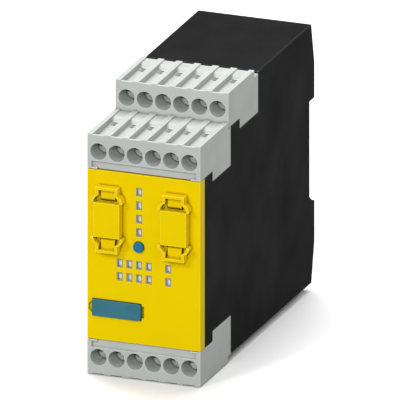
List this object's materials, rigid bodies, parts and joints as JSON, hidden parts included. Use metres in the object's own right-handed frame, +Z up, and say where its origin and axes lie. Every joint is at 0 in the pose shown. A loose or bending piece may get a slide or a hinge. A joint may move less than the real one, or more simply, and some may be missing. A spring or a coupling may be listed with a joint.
{
  "type": "safety controller module",
  "caption": "Narrow rail-mounted safety controller module with stepped plug-in screw terminals, indicator windows, a reset button and a sprung rail latch.",
  "frame": {"origin": "on the surface it stands on, under the centre of its outline", "axes": "+Z up, front faces -Y, +X to the right seen from the front"},
  "size_m": [0.045, 0.124, 0.1063],
  "materials": {
    "black_polyamide": "fine-grained moulding",
    "yellow_polycarbonate": "satin moulding",
    "grey_polyamide": "satin moulding",
    "label_plastic": "writable matt",
    "button_plastic": "satin moulding",
    "clear_guide": "milky clear moulding",
    "zinc_steel": "zinc plated",
    "tinned_copper": "tin plated",
    "spring_steel": "drawn wire",
    "circuit_board": "solder mask",
    "component_black": "moulded",
    "relay_case": "moulded",
    "ferrite": "sintered",
    "copper_winding": "enamelled wire",
    "capacitor_can": "sleeved"
  },
  "bodies": {
    "module": {"board_connectors": "component_black", "clamp_cages_lower_front": "zinc_steel", "clamp_cages_upper_front": "zinc_steel", "clamp_cages_upper_rear": "zinc_steel", "clock_crystals": "zinc_steel", "contact_bars_lower_front": "tinned_copper", "contact_bars_upper_front": "tinned_copper", "contact_bars_upper_rear": "tinned_copper", "converter_core": "ferrite", "converter_winding": "copper_winding", "filter_capacitors": "capacitor_can", "front_board": "circuit_board", "front_cover": "yellow_polycarbonate", "front_terminal_board": "circuit_board", "header_pins_lower_front": "tinned_copper", "header_pins_upper_front": "tinned_copper", "header_pins_upper_rear": "tinned_copper", "housing": "black_polyamide", "indicator_leds": "clear_guide", "interface_contacts_left": "tinned_copper", "interface_contacts_right": "tinned_copper", "interface_cover_left": "yellow_polycarbonate", "interface_cover_right": "yellow_polycarbonate", "interface_socket_left": "component_black", "interface_socket_right": "component_black", "label_plate": "label_plastic", "latch_spring": "spring_steel", "light_guide_column": "clear_guide", "light_guide_rows": "clear_guide", "link_board": "circuit_board", "logic_board": "circuit_board", "output_transistors": "component_black", "pin_header_lower_front": "component_black", "pin_header_upper_front": "component_black", "pin_header_upper_rear": "component_black", "power_board": "circuit_board", "processors": "component_black", "rear_terminal_board": "circuit_board", "reset_switch": "component_black", "safety_relays": "relay_case", "terminal_block_lower_front": "grey_polyamide", "terminal_block_upper_front": "grey_polyamide", "terminal_block_upper_rear": "grey_polyamide", "terminal_screws_lower_front": "zinc_steel", "terminal_screws_upper_front": "zinc_steel", "terminal_screws_upper_rear": "zinc_steel"},
    "button": {"reset_button": "button_plastic", "switch_plunger": "component_black"},
    "latch": {"rail_latch": "black_polyamide"}
  },
  "joints": [
    {"name": "reset_button_press", "type": "slide", "parent": "module", "child": "button", "axis": [0, 1, 0], "range_m": [0, 0.0008], "stiffness_N_per_m": 500},
    {"name": "rail_latch_slide", "type": "slide", "parent": "module", "child": "latch", "axis": [0, 0, -1], "range_m": [0, 0.004], "stiffness_N_per_m": 400, "springref_m": -0.002, "deforming": ["latch_spring"]}
  ]
}
